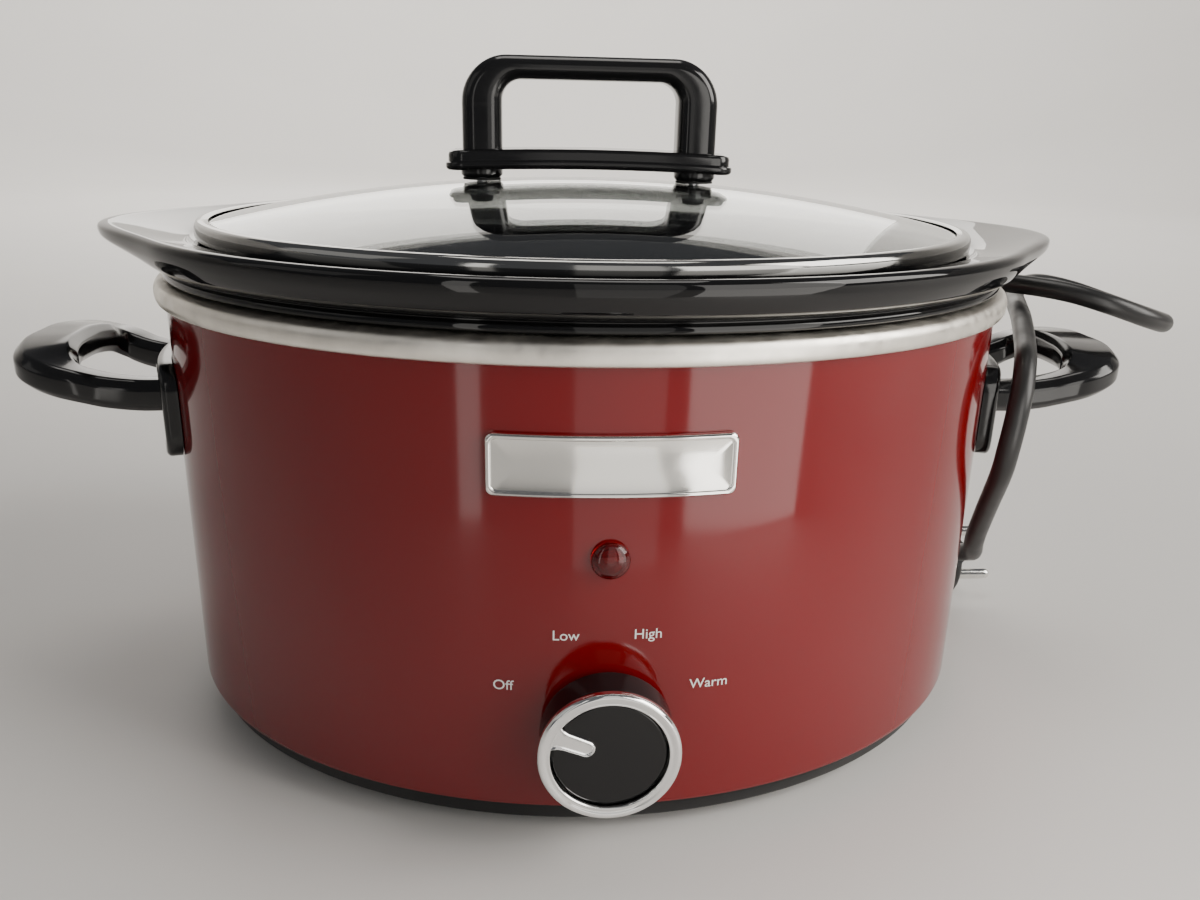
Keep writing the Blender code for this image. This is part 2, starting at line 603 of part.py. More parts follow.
def lid_fixings(lid, rubber, steel):
    """Washer above the glass, washer and screw below it, at each post."""
    for side, label in ((-1, "left"), (1, "right")):
        spot = (side * POST_X, 0, 0)
        top = glass_top(POST_X)
        low = top - GLASS
        pad = [(0.0030, top + 0.0005), (0.0064, top + 0.0005), (0.0064, top + 0.0011),
               (0.0030, top + 0.0011)]
        finish("lid_gasket_" + label, turned(pad, spot, (0, 0, 1), 20, closed=True), rubber, lid)
        washer = [(0.0022, low - 0.0016), (0.0060, low - 0.0016), (0.0060, low - 0.0006),
                  (0.0022, low - 0.0006)]
        finish("lid_washer_" + label, turned(washer, spot, (0, 0, 1), 20, closed=True), steel, lid)
        screw = [(0.0020, low - 0.0042), (0.0036, low - 0.0036), (0.0040, low - 0.0019),
                 (0.0018, low - 0.0019), (0.0018, 0.1900), (0.0010, 0.1910)]
        finish("lid_screw_" + label, turned(screw, spot, (0, 0, 1), 14), steel, lid)


# Supply cord -------------------------------------------------------------------------------
CORD_ROUTE = [(0.0, 0.1403, 0.03), (0.0, 0.15, 0.03), (-0.0005, 0.161, 0.0293),
              (-0.005, 0.1732, 0.0268), (-0.0155, 0.183, 0.0222), (-0.03, 0.1878, 0.0158),
              (-0.045, 0.1888, 0.0092), (-0.06, 0.186, 0.005), (-0.073, 0.1788, 0.0042),
              (-0.082, 0.1672, 0.0042), (-0.085, 0.1535, 0.0042), (-0.0815, 0.14, 0.0042),
              (-0.0715, 0.1302, 0.0042), (-0.057, 0.126, 0.0042), (-0.028, 0.127, 0.0042),
              (0.005, 0.1305, 0.0042), (0.033, 0.134, 0.0052), (0.056, 0.134, 0.0115),
              (0.0735, 0.129, 0.026), (0.086, 0.12, 0.048), (0.095, 0.109, 0.075),
              (0.103, 0.096, 0.101), (0.1125, 0.08, 0.122), (0.1255, 0.062, 0.1345),
              (0.1395, 0.0445, 0.139), (0.1535, 0.0275, 0.1418), (0.166, 0.013, 0.143),
              (0.1785, 0.0008, 0.1422), (0.1905, -0.0063, 0.1392), (0.2045, -0.0063, 0.1348),
              (0.2167, 0.0008, 0.1312), (0.2238, 0.013, 0.1294), (0.2238, 0.027, 0.1297),
              (0.2167, 0.0392, 0.1322), (0.2045, 0.0463, 0.136), (0.1905, 0.0463, 0.1385),
              (0.1783, 0.0392, 0.138), (0.1715, 0.028, 0.1362), (0.1663, 0.014, 0.1345),
              (0.161, 0.0, 0.1334), (0.1555, -0.0135, 0.1318), (0.1502, -0.0265, 0.1294),
              (0.144, -0.0405, 0.1266), (0.1398, -0.0494, 0.1191), (0.1372, -0.0534, 0.1098),
              (0.1362, -0.0534, 0.0992), (0.1374, -0.049, 0.0893), (0.1418, -0.0351, 0.0728),
              (0.146, -0.0223, 0.0575), (0.1485, -0.0159, 0.0498), (0.1516, -0.0098, 0.0434)]


def gland(base, looks):
    """Moulded strain relief through the rear wall."""
    profile = [(0.0050, -0.0060), (0.0060, -0.0050), (0.0060, 0.0004), (0.0090, 0.0004),
               (0.0092, 0.0030), (0.0072, 0.0038), (0.0058, 0.0100), (0.0048, 0.0250)]
    finish("strain_relief", turned(profile, (0, HALF_DEPTH, GLAND_Z), (0, 1, 0), 16), looks, base)


def plug(base, black, brass):
    """Angled moulded plug lying beside the shell, pins pointing away from it."""
    out = Vector((1, 0, 0))
    collar = Vector((0, -math.cos(PLUG_TILT), math.sin(PLUG_TILT)))
    across = out.cross(collar)
    head = [(0.0150, -0.0085), (0.0178, -0.0060), (PLUG_RADIUS, 0.0), (PLUG_RADIUS, 0.0085),
            (0.0175, 0.0095)]
    made = finish("plug", turned(head, PLUG_CENTRE, out, 24), black, base)
    neck = [(0.0085, 0.0100), (0.0075, 0.0200), (0.0062, 0.0240), (0.0050, 0.0330)]
    boolean(made, cutter("plug_collar", [turned(neck, PLUG_CENTRE, collar, 16)], base), "UNION")
    for name, side in (("plug_pin_live", -1), ("plug_pin_neutral", 1)):
        foot = PLUG_CENTRE + across * (0.0095 * side) + out * (0.0095 + GAP)
        pin = [(0.0024, 0.0), (0.0024, 0.0172), (0.0018, 0.0186), (0.0008, 0.0190)]
        finish(name, turned(pin, foot, out, 14), brass, base)
    return [PLUG_CENTRE + collar * (0.0330 + GAP + ahead) for ahead in (0.012, 0.0)]


def power_cord(base, looks, plug_end):
    """Sheathed cord from the strain relief round the back, over the handle and to the plug."""
    route = CORD_ROUTE + [tuple(point) for point in plug_end]
    tube("power_cord", even_path(route, 96), CORD_RADIUS, looks, base, 2)


# Assembly ----------------------------------------------------------------------------------
def main():
    clear_scene()
    base = empty("base_frame", (0, OVAL_Y, 0))
    turning = empty("knob_axis", (0, -HALF_DEPTH, KNOB_Z), base)
    pot = empty("pot_lift", (0, 0, 0), base)
    lid = empty("lid_lift", (0, 0, 0), pot)

    red = material("red_paint", (0.33, 0.012, 0.018), 0.18)
    satin = material("satin_aluminium", (0.66, 0.65, 0.62), 0.38, 1.0)
    black = material("black_plastic", BLACK, 0.22)
    tray = material("base_plastic", (0.018, 0.018, 0.019), 0.45)
    rubber = material("rubber", (0.020, 0.020, 0.020), 0.80)
    steel = material("zinc_steel", STEEL, 0.35, 1.0)
    chrome = material("chrome", (0.80, 0.80, 0.80), 0.06, 1.0)
    brass = material("pin_brass", (0.70, 0.62, 0.42), 0.25, 1.0)
    glaze = material("black_glaze", (0.006, 0.006, 0.007), 0.06)
    glass = material("clear_glass", (0.78, 0.84, 0.82), 0.02)
    fibre = material("fibre_blanket", (0.78, 0.76, 0.70), 0.95)
    mica = material("heater_foil", (0.62, 0.60, 0.56), 0.40, 1.0)
    ceramic = material("fuse_ceramic", (0.80, 0.78, 0.72), 0.60)
    lens = material("red_lens", (0.30, 0.006, 0.006), 0.08)
    lamp = material("neon_lamp", (0.80, 0.42, 0.25), 0.10)
    sheath = material("cord_sheath", (0.014, 0.014, 0.014), 0.42)
    sleeves = {"wire_live": material("brown_sleeve", (0.16, 0.06, 0.02), 0.5),
               "wire_neutral": material("blue_sleeve", (0.03, 0.10, 0.35), 0.5),
               "wire_high": material("red_sleeve", (0.45, 0.03, 0.02), 0.5),
               "wire_low": material("white_sleeve", (0.70, 0.68, 0.62), 0.5)}

    outer_shell(base, red)
    heating_well(base, satin)
    base_tray(base, tray)
    feet(base, rubber)
    heater(base, mica, steel, fibre)
    fixings(base, steel)
    electrics(base, (tray, brass, ceramic, steel, sleeves))
    switch(base, tray, steel)
    indicator(base, lens, lamp, steel)
    badge(base, chrome)
    side_handle("side_handle_left", -1, base, black)
    side_handle("side_handle_right", 1, base, black)
    handle_screws(base, steel)
    knob(turning, black, chrome, black, steel)
    stoneware_pot(pot, glaze)
    lid_glass(lid, glass)
    lid_rim(lid, chrome)
    lid_handle(lid, black)
    lid_fixings(lid, rubber, steel)
    gland(base, black)
    power_cord(base, sheath, plug(base, black, brass))


main()
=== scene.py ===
"""Looks of the oval slow cooker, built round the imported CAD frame.

Metres, +Z up, front towards -Y. Shapes are worked out about the oval's own centre, and
add_piece() shifts them to where the CAD has it.
"""
import json
import math

import bmesh
import bpy
from mathutils import Matrix, Vector


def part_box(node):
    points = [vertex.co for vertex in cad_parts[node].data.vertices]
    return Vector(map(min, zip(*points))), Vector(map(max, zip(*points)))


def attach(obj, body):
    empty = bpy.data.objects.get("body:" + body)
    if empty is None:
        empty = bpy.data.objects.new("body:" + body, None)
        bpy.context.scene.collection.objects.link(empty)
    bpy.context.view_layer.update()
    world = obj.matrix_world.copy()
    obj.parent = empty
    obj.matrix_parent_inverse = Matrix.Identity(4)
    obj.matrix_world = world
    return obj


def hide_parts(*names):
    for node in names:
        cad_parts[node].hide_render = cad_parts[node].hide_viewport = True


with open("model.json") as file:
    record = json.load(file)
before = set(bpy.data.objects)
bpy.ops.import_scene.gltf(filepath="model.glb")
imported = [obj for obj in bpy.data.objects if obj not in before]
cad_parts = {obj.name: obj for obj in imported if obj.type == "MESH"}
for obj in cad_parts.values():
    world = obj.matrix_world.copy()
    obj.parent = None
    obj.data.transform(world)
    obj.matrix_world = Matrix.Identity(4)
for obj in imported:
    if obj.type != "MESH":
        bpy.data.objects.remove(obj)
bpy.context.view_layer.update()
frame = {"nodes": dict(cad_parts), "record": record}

# Dimensions of the CAD ---------------------------------------------------------------------
shell_low, shell_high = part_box("outer_shell")
OVAL_Y = (shell_low.y + shell_high.y) / 2
HALF_WIDTH = (shell_high.x - shell_low.x) / 2
HALF_DEPTH = (shell_high.y - shell_low.y) / 2
SHIFT = Vector((0, OVAL_Y, 0))
OVAL_STEPS = 192
GAP = 0.0003

SHELL_BOTTOM = shell_low.z
SHELL_TOP = shell_high.z
BAND_BOTTOM = 0.1425
BAND_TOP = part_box("heating_well")[1].z
POT_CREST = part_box("stoneware_pot")[1].z
TRAY_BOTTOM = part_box("base_tray")[0].z
LID_SEAT = 0.1605
LID_EDGE = 0.1650
LID_APEX = 0.1797
LID_INSET = -0.0120
GLASS = 0.0034
HANDLE_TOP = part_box("lid_handle")[1].z
KNOB_Z = 0.0393
KNOB_RADIUS = 0.0195
KNOB_FACE = 0.0150
WORD_Z = KNOB_Z - 0.0006
WORD_RADIUS = 0.0315
LAMP_Z = 0.0905
LENS_RADIUS = 0.0053
BADGE_Z = 0.1165
BADGE_HALF = (0.0323, 0.0085)
FOOT_X = 0.0920
FOOT_Y = 0.0600
ARM_Y = 0.0252
ARM_Z = 0.1104
PLATE_Z = 0.1078
PLATE_HALF = (0.0420, 0.0154)
POST_X = 0.0363
GLAND_Z = 0.0300
CORD_RADIUS = 0.0036
PLUG_CENTRE = Vector((0.1555, 0.0410, 0.0190))
PLUG_TILT = math.radians(25)


# Camera ------------------------------------------------------------------------------------
def make_camera():
    yaw, pitch, roll = 0.0827, 0.3281, 0.0238
    place = Vector((-0.0232, -0.3532, 0.2022)) + SHIFT
    ahead = Vector((math.sin(yaw) * math.cos(pitch), math.cos(yaw) * math.cos(pitch),
                    -math.sin(pitch)))
    right = Vector((math.cos(yaw), -math.sin(yaw), 0))
    up = right.cross(ahead)
    side = math.cos(roll) * right + math.sin(roll) * up
    top = -math.sin(roll) * right + math.cos(roll) * up
    lens = bpy.data.cameras.new("camera")
    lens.sensor_fit = "HORIZONTAL"
    lens.sensor_width = 36.0
    lens.lens = 29.985
    lens.clip_start = 0.01
    camera = bpy.data.objects.new("camera", lens)
    bpy.context.scene.collection.objects.link(camera)
    turn = Matrix((side, top, -ahead)).transposed().to_4x4()
    camera.matrix_world = Matrix.Translation(place) @ turn
    bpy.context.scene.camera = camera


# Shape helpers -----------------------------------------------------------------------------
def soften(points, radius, steps=4, closed=False):
    """Round the corners of a polyline of tuples of any length."""
    count = len(points)
    result = []
    for i, corner in enumerate(points):
        if not closed and i in (0, count - 1):
            result.append(tuple(corner))
            continue
        here = Vector(corner[:2])
        ends = []
        for other in (points[i - 1], points[(i + 1) % count]):
            length = (Vector(other[:2]) - here).length
            share = min(radius / length, 0.46) if length > 0 else 0.0
            ends.append([c + (o - c) * share for c, o in zip(corner, other)])
        for k in range(steps + 1):
            t = k / steps
            result.append(tuple(a * (1 - t) ** 2 + 2 * c * t * (1 - t) + b * t ** 2
                                for a, c, b in zip(ends[0], corner, ends[1])))
    return result


def loft(rings, closed=False, capped=True):
    """Skin equal rings of points; caps get a smaller ring inside, so that they shade flat."""
    shape = bmesh.new()
    rings = [[Vector(point) for point in ring] for ring in rings]
    if not closed and capped:
        for at, where in ((0, 0), (-1, len(rings) + 1)):
            ring = rings[at]
            middle = sum(ring, Vector()) / len(ring)
            rings.insert(where, [point.lerp(middle, 0.25) for point in ring])
    rows = [[shape.verts.new(point) for point in ring] for ring in rings]
    pairs = list(zip(rows, rows[1:]))
    if closed:
        pairs.append((rows[-1], rows[0]))
    elif capped:
        shape.faces.new(rows[0])
        shape.faces.new(rows[-1])
    for low, high in pairs:
        for i in range(len(low)):
            j = (i + 1) % len(low)
            shape.faces.new((low[i], low[j], high[j], high[i]))
    return shape


def oval_ring(offset, z, steps=OVAL_STEPS):
    turns = (2 * math.pi * i / steps for i in range(steps))
    return [Vector(((HALF_WIDTH + offset) * math.cos(t), (HALF_DEPTH + offset) * math.sin(t), z))
            for t in turns]


def oval_body(profile, closed=False):
    return loft([oval_ring(offset, z) for offset, z in profile], closed)


def turned(profile, origin, axis, steps=96, closed=False):
    """Turn (radius, distance along the axis) pairs round an axis."""
    to_axis = Vector(axis).to_track_quat("Z", "Y").to_matrix()
    rings = []
    for radius, along in profile:
        rings.append([Vector(origin) + to_axis @ Vector((radius * math.cos(2 * math.pi * i / steps),
                                                         radius * math.sin(2 * math.pi * i / steps),
                                                         along)) for i in range(steps)])
    return loft(rings, closed)


def rod(origin, axis, radius, length, steps=32):
    return turned([(radius, 0.0), (radius, length)], origin, axis, steps)


def box(centre, size):
    shape = bmesh.new()
    bmesh.ops.create_cube(shape, size=1.0)
    bmesh.ops.scale(shape, vec=size, verts=shape.verts)
    bmesh.ops.translate(shape, vec=centre, verts=shape.verts)
    return shape


def combine(shape, tools, operation):
    """Exact Boolean of bmesh solids, given back as one bmesh."""
    made = []
    for source in [shape, *tools]:
        bmesh.ops.recalc_face_normals(source, faces=source.faces)
        mesh = bpy.data.meshes.new("solid")
        source.to_mesh(mesh)
        source.free()
        made.append(bpy.data.objects.new("solid", mesh))
        bpy.context.scene.collection.objects.link(made[-1])
    for tool in made[1:]:
        step = made[0].modifiers.new("step", "BOOLEAN")
        step.operation = operation
        step.solver = "EXACT"
        step.object = tool
    graph = bpy.context.evaluated_depsgraph_get()
    result = bmesh.new()
    result.from_mesh(made[0].evaluated_get(graph).to_mesh())
    for thing in made:
        bpy.data.objects.remove(thing)
    return result


def smooth_path(points, steps):
    """Catmull-Rom curve through tuples of any length, with equal steps in each span."""
    ends = [[2 * a - b for a, b in zip(points[0], points[1])],
            [2 * a - b for a, b in zip(points[-1], points[-2])]]
    knots = [ends[0], *points, ends[1]]
    path = []
    for a, b, c, d in zip(knots, knots[1:], knots[2:], knots[3:]):
        for k in range(steps):
            t = k / steps
            path.append(tuple(0.5 * (2 * q + (r - p) * t + (2 * p - 5 * q + 4 * r - s) * t ** 2
                                     + (3 * q - p - 3 * r + s) * t ** 3)
                              for p, q, r, s in zip(a, b, c, d)))
    path.append(tuple(points[-1]))
    return path


def rounded_outline(half_x, half_y, radius, corner=8, runs=(40, 10)):
    """Rounded rectangle with the same number of points whatever its size."""
    corners = ((1, 1), (-1, 1), (-1, -1), (1, -1))
    arcs = []
    for quarter, (sx, sy) in enumerate(corners):
        turns = [math.pi / 2 * (quarter + k / corner) for k in range(corner + 1)]
        arcs.append([(sx * (half_x - radius) + radius * math.cos(t),
                      sy * (half_y - radius) + radius * math.sin(t)) for t in turns])
    outline = []
    for i, arc in enumerate(arcs):
        outline += arc
        start, end = arc[-1], arcs[(i + 1) % 4][0]
        run = runs[i % 2]
        outline += [(start[0] + (end[0] - start[0]) * k / run,
                     start[1] + (end[1] - start[1]) * k / run) for k in range(1, run)]
    return outline


def plate(half_x, half_y, radius, levels, place, runs=(40, 10)):
    """Rounded plate from (inset, lift) levels; the first and last close on its middle line."""
    rings = []
    for inset, lift in levels:
        inset = min(inset, half_y)
        corner = max(radius - inset, 0.25 * (half_y - inset))
        outline = rounded_outline(half_x - inset, half_y - inset, corner, runs=runs)
        rings.append([place(x, y, lift) for x, y in outline])
    shape = loft(rings, capped=False)
    bmesh.ops.remove_doubles(shape, verts=shape.verts, dist=1e-7)
    return shape


def on_wall(middle, half_angle, half_arc, z_mid):
    """Maps a flat plan onto the oval wall, round an angle."""
    def place(x, y, lift):
        angle = middle + x / half_arc * half_angle
        return Vector(((HALF_WIDTH + lift) * math.cos(angle), (HALF_DEPTH + lift) * math.sin(angle),
                       z_mid + y))
    return place


def add_piece(name, shape, looks, body, slot, *nodes, smooth=32):
    """Make a bmesh into a piece that rides on a CAD body and stands for CAD nodes."""
    bmesh.ops.recalc_face_normals(shape, faces=shape.faces)
    bmesh.ops.translate(shape, vec=SHIFT, verts=shape.verts)
    mesh = bpy.data.meshes.new(name)
    shape.to_mesh(mesh)
    shape.free()
    mesh.shade_smooth()
    mesh.set_sharp_from_angle(angle=math.radians(smooth))
    mesh.materials.append(looks)
    made = bpy.data.objects.new(name, mesh)
    bpy.context.scene.collection.objects.link(made)
    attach(made, body)
    if nodes:
        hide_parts(*nodes)
    return made


# Materials ---------------------------------------------------------------------------------
def look(name, colour, rough, metallic=0.0, swing=0.03, patch=45.0, mottle=0.05,
         grain=(1800.0, 1.5e-6), stretch=(1, 1, 1), wave=None, scratch=0.0, **sockets):
    """Shader whose colour, roughness and surface vary at real scale.

    patch: smudges per metre that swing the roughness; grain and wave: (features per metre,
    height in metres); stretch: squeezes the grain along an axis; scratch: share of hairlines.
    """
    made = bpy.data.materials.new(name)
    made.use_nodes = True
    nodes, links = made.node_tree.nodes, made.node_tree.links
    shader = nodes["Principled BSDF"]
    shader.inputs["Metallic"].default_value = metallic
    for key, value in sockets.items():
        shader.inputs[key.replace("_", " ")].default_value = value
    place = nodes.new("ShaderNodeTexCoord")

    def noise(scale, detail, squeeze=(1, 1, 1)):
        mapping = nodes.new("ShaderNodeMapping")
        mapping.inputs["Scale"].default_value = squeeze
        links.new(place.outputs["Object"], mapping.inputs["Vector"])
        texture = nodes.new("ShaderNodeTexNoise")
        texture.inputs["Scale"].default_value = scale
        texture.inputs["Detail"].default_value = detail
        links.new(mapping.outputs["Vector"], texture.inputs["Vector"])
        return texture.outputs["Fac"]

    def ranged(source, low_in, high_in, low, high):
        spread = nodes.new("ShaderNodeMapRange")
        for socket, value in zip(("From Min", "From Max", "To Min", "To Max"),
                                 (low_in, high_in, low, high)):
            spread.inputs[socket].default_value = value
        links.new(source, spread.inputs["Value"])
        return spread.outputs["Result"]

    def added(first, second):
        total = nodes.new("ShaderNodeMath")
        total.operation = "ADD"
        links.new(first, total.inputs[0])
        links.new(second, total.inputs[1])
        return total.outputs["Value"]

    finish = ranged(noise(patch, 5.0), 0.32, 0.68, max(rough - swing, 0.01), rough + swing)
    if scratch:
        hairs = noise(260.0, 2.0, (0.05, 1.0, 1.0))
        finish = added(finish, ranged(hairs, 0.66, 0.70, 0.0, scratch))
    links.new(finish, shader.inputs["Roughness"])

    tint = nodes.new("ShaderNodeMix")
    tint.data_type = "RGBA"
    links.new(ranged(noise(patch * 0.4, 6.0), 0.3, 0.7, 0.0, 1.0), tint.inputs["Factor"])
    tint.inputs[6].default_value = (*[c * (1 - mottle) for c in colour], 1)
    tint.inputs[7].default_value = (*[min(c * (1 + mottle), 1.0) for c in colour], 1)
    links.new(tint.outputs[2], shader.inputs["Base Color"])

    normal = None
    layers = ((*grain, 3.0, stretch), (*(wave or (1, 0)), 1.0, (1, 1, 1)))
    for scale, height, detail, squeeze in layers:
        if not height:
            continue
        bump = nodes.new("ShaderNodeBump")
        bump.inputs["Distance"].default_value = height
        links.new(noise(scale, detail, squeeze), bump.inputs["Height"])
        if normal:
            links.new(normal, bump.inputs["Normal"])
        normal = bump.outputs["Normal"]
    links.new(normal, shader.inputs["Normal"])
    return made


def make_looks():
    dark = (0.0095, 0.0095, 0.0100)
    return {
        "red_paint": look("red_paint", (0.150, 0.0026, 0.0040), 0.085, swing=0.02, patch=28,
                          mottle=0.04, grain=(420.0, 2.5e-6), wave=(60.0, 6e-6),
                          Specular_IOR_Level=0.5),
        "satin_aluminium": look("satin_aluminium", (0.88, 0.84, 0.76), 0.38, 1.0, swing=0.08,
                                patch=260, mottle=0.09, grain=(2600.0, 1.6e-5), stretch=(1, 1, 2.4),
                                wave=(420.0, 1.2e-5), scratch=0.06),
        "base_plastic": look("base_plastic", (0.008, 0.008, 0.0085), 0.42, swing=0.05,
                             grain=(2400.0, 1.4e-5), Specular_IOR_Level=0.30),
        "black_plastic": look("black_plastic", dark, 0.13, swing=0.04, patch=70,
                              grain=(900.0, 1.6e-6), wave=(90.0, 8e-6), scratch=0.05),
        "foot_rubber": look("foot_rubber", (0.022, 0.022, 0.022), 0.72, swing=0.06,
                            grain=(3000.0, 2e-5)),
        "zinc_steel": look("zinc_steel", (0.60, 0.60, 0.61), 0.34, 1.0, swing=0.08, patch=300,
                           mottle=0.10, grain=(2600.0, 5e-6)),
        "heater_foil": look("heater_foil", (0.72, 0.70, 0.65), 0.38, 1.0, swing=0.08,
                            grain=(500.0, 4e-5)),
        "fibre_blanket": look("fibre_blanket", (0.72, 0.69, 0.62), 0.92, mottle=0.14,
                              grain=(1200.0, 1.6e-4)),
        "fuse_ceramic": look("fuse_ceramic", (0.80, 0.77, 0.70), 0.50, grain=(2200.0, 1e-5)),
        "brown_sleeve": look("brown_sleeve", (0.17, 0.065, 0.025), 0.45),
        "blue_sleeve": look("blue_sleeve", (0.03, 0.10, 0.36), 0.45),
        "red_sleeve": look("red_sleeve", (0.45, 0.03, 0.02), 0.45),
        "white_sleeve": look("white_sleeve", (0.72, 0.70, 0.64), 0.45),
        "brass": look("brass", (0.78, 0.62, 0.34), 0.28, 1.0, swing=0.08, mottle=0.10),
        "pin_metal": look("pin_metal", (0.80, 0.79, 0.76), 0.18, 1.0, swing=0.06, patch=300,
                          grain=(2600.0, 3e-6), stretch=(0.1, 1, 1), scratch=0.10),
        "red_lens": look("red_lens", (0.36, 0.006, 0.009), 0.05, swing=0.02, patch=200,
                         Transmission_Weight=0.86, IOR=1.49),
        "neon_glass": look("neon_glass", (0.95, 0.70, 0.55), 0.08, Transmission_Weight=0.5),
        "chrome": look("chrome", (0.88, 0.88, 0.87), 0.055, 1.0, swing=0.03, patch=160,
                       mottle=0.02, grain=(700.0, 1.2e-6), wave=(150.0, 4e-6), scratch=0.05),
        "cord_sheath": look("cord_sheath", (0.017, 0.017, 0.017), 0.36, swing=0.05, patch=120,
                            grain=(1500.0, 6e-6)),
        "black_glaze": look("black_glaze", (0.0050, 0.0050, 0.0054), 0.035, swing=0.02, patch=60,
                            grain=(260.0, 5e-6), wave=(55.0, 4e-5), Specular_IOR_Level=0.4),
        "clear_glass": look("clear_glass", (0.925, 0.955, 0.940), 0.012, swing=0.008, patch=30,
                            mottle=0.01, grain=(40.0, 2e-6), wave=(14.0, 1e-5),
                            Transmission_Weight=1.0, IOR=1.50),
        "bright_panel": look("bright_panel", (0.90, 0.89, 0.85), 0.11, 1.0, swing=0.04, patch=120,
                             mottle=0.03, grain=(1500.0, 4e-6), stretch=(0.05, 1, 1)),
        "ink": look("ink", (0.78, 0.77, 0.75), 0.40, grain=(4000.0, 2e-6)),
        # Near-black red for the holder ring inside the lamp: painted shade of the dark inside of
        # the lamp behind the lens.
        "lamp_recess_shade": look("lamp_recess_shade", (0.030, 0.006, 0.006), 0.25, swing=0.06),
        # Polished steel as in chrome, but with its colour darkened to 0.34: painted shade, so that
        # the lid hoop looks dark.
        "shade_darkened_rim_steel": look("shade_darkened_rim_steel", (0.34, 0.34, 0.33), 0.09, 1.0, swing=0.04, patch=160,
                          mottle=0.03, grain=(700.0, 1.2e-6), wave=(150.0, 4e-6), scratch=0.05),
    }


# Supply cord -------------------------------------------------------------------------------
CORD_ROUTE = [
    (0.0, 0.1403, 0.03), (0.0, 0.15, 0.03), (-0.0005, 0.161, 0.0293), (-0.005, 0.1732, 0.0268),
    (-0.0155, 0.183, 0.0222), (-0.03, 0.1878, 0.0158), (-0.045, 0.1888, 0.0092),
    (-0.06, 0.186, 0.005), (-0.073, 0.1788, 0.0042), (-0.082, 0.1672, 0.0042),
    (-0.085, 0.1535, 0.0042), (-0.0815, 0.14, 0.0042), (-0.0715, 0.1302, 0.0042),
    (-0.057, 0.126, 0.0042), (-0.028, 0.127, 0.0042), (0.005, 0.1305, 0.0042),
    (0.033, 0.134, 0.0052), (0.056, 0.134, 0.0115), (0.0735, 0.129, 0.026), (0.086, 0.12, 0.048),
    (0.095, 0.109, 0.075), (0.103, 0.096, 0.101), (0.1125, 0.08, 0.122), (0.1255, 0.062, 0.1345),
    (0.1395, 0.0445, 0.139), (0.1535, 0.0275, 0.1418), (0.166, 0.013, 0.143),
    (0.1785, 0.0008, 0.1422), (0.1905, -0.0063, 0.1392), (0.2045, -0.0063, 0.1348),
    (0.2167, 0.0008, 0.1312), (0.2238, 0.013, 0.1294), (0.2238, 0.027, 0.1297),
    (0.2167, 0.0392, 0.1322), (0.2045, 0.0463, 0.136), (0.1905, 0.0463, 0.1385),
    (0.1783, 0.0392, 0.138), (0.1715, 0.028, 0.1362), (0.1663, 0.014, 0.1345),
    (0.161, 0.0, 0.1334), (0.1555, -0.0135, 0.1318), (0.1502, -0.0265, 0.1294),
    (0.144, -0.0405, 0.1266), (0.1398, -0.0494, 0.1191), (0.1372, -0.0534, 0.1098),
    (0.1362, -0.0534, 0.0992), (0.1374, -0.049, 0.0893), (0.1418, -0.0351, 0.0728),
    (0.146, -0.0223, 0.0575), (0.1485, -0.0159, 0.0498), (0.1516, -0.0098, 0.0434)]


